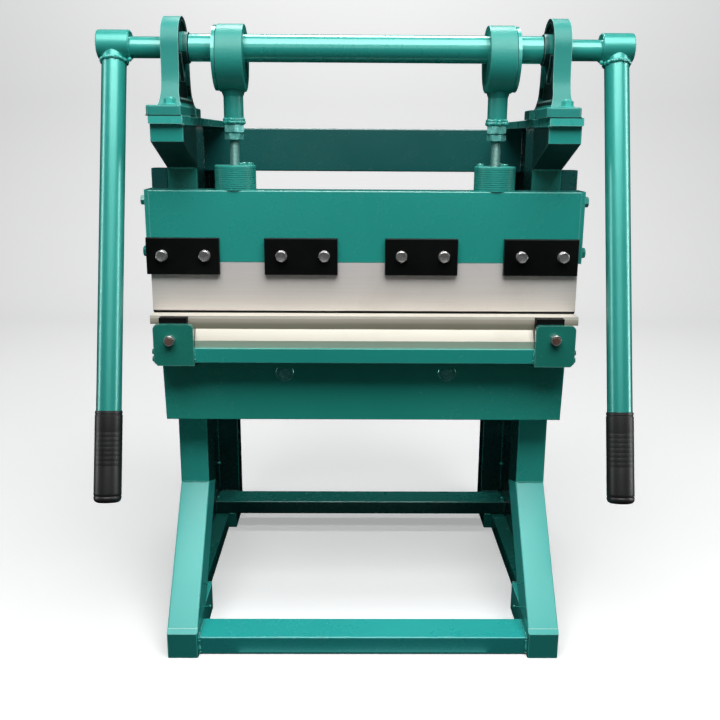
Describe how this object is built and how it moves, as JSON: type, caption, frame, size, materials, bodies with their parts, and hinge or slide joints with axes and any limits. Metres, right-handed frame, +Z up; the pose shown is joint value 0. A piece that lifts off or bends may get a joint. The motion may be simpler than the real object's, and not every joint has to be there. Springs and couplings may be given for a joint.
{
  "type": "manual sheet metal bending press",
  "caption": "Free-standing hand press brake: eccentric crankshaft with hand levers, a sliding ram with a straight punch, and a V die on a welded tube frame.",
  "frame": {"origin": "on the floor, below the centre of the bounding box with the levers hanging down", "axes": "+Z up, +X to the right seen from the operator's side, +Y towards the rear; the operator stands on the -Y side"},
  "size_m": [0.722, 0.6022, 0.887],
  "materials": {
    "teal_paint": "gloss",
    "ground_steel": "brushed",
    "black_oxide": "satin",
    "black_rubber": "matt"
  },
  "bodies": {
    "frame": {"left_front_foot": "teal_paint", "right_front_foot": "teal_paint", "left_brace": "teal_paint", "right_brace": "teal_paint", "left_column": "teal_paint", "right_column": "teal_paint", "left_top_arm": "teal_paint", "right_top_arm": "teal_paint", "left_web_plate": "teal_paint", "right_web_plate": "teal_paint", "left_sill": "teal_paint", "right_sill": "teal_paint", "left_rear_column": "teal_paint", "right_rear_column": "teal_paint", "left_top_plate": "teal_paint", "right_top_plate": "teal_paint", "left_guide_block": "teal_paint", "right_guide_block": "teal_paint", "left_bearing": "teal_paint", "right_bearing": "teal_paint", "front_cross_tube": "teal_paint", "rear_cross_tube": "teal_paint", "rear_crossbeam": "teal_paint", "lower_beam": "teal_paint", "die_bed": "teal_paint", "v_die": "ground_steel", "front_rail": "teal_paint", "left_bracket": "teal_paint", "right_bracket": "teal_paint", "left_die_block": "black_oxide", "right_die_block": "black_oxide"},
    "crankshaft": {"crank_shaft": "teal_paint", "left_lever": "teal_paint", "right_lever": "teal_paint", "left_grip": "black_rubber", "right_grip": "black_rubber"},
    "left_rod": {"left_connecting_rod": "teal_paint", "left_adjusting_screw": "teal_paint"},
    "right_rod": {"right_connecting_rod": "teal_paint", "right_adjusting_screw": "teal_paint"},
    "ram": {"ram_beam": "teal_paint", "punch": "ground_steel", "punch_clamps": "black_oxide", "left_ram_flange": "teal_paint", "right_ram_flange": "teal_paint"}
  },
  "joints": [
    {"name": "crank_turn", "type": "hinge", "parent": "frame", "child": "crankshaft", "pos_m": [0, -0.11185, 0.847], "axis": [-1, 0, 0], "range_deg": [0, 90]},
    {"name": "ram_slide", "type": "slide", "parent": "frame", "child": "ram", "axis": [0, 0, 1], "range_m": [0, 0.0131]},
    {"name": "left_rod_pivot", "type": "hinge", "parent": "crankshaft", "child": "left_rod", "pos_m": [-0.1815, -0.11185, 0.834], "axis": [-1, 0, 0], "range_deg": [-96, 0]},
    {"name": "right_rod_pivot", "type": "hinge", "parent": "crankshaft", "child": "right_rod", "pos_m": [0.1815, -0.11185, 0.834], "axis": [-1, 0, 0], "range_deg": [-96, 0]}
  ],
  "couplings": [
    {"joint": "ram_slide", "follows": "crank_turn", "m_per_rad": 0.008276},
    {"joint": "left_rod_pivot", "follows": "crank_turn", "ratio": -1.0622},
    {"joint": "right_rod_pivot", "follows": "crank_turn", "ratio": -1.0622}
  ]
}
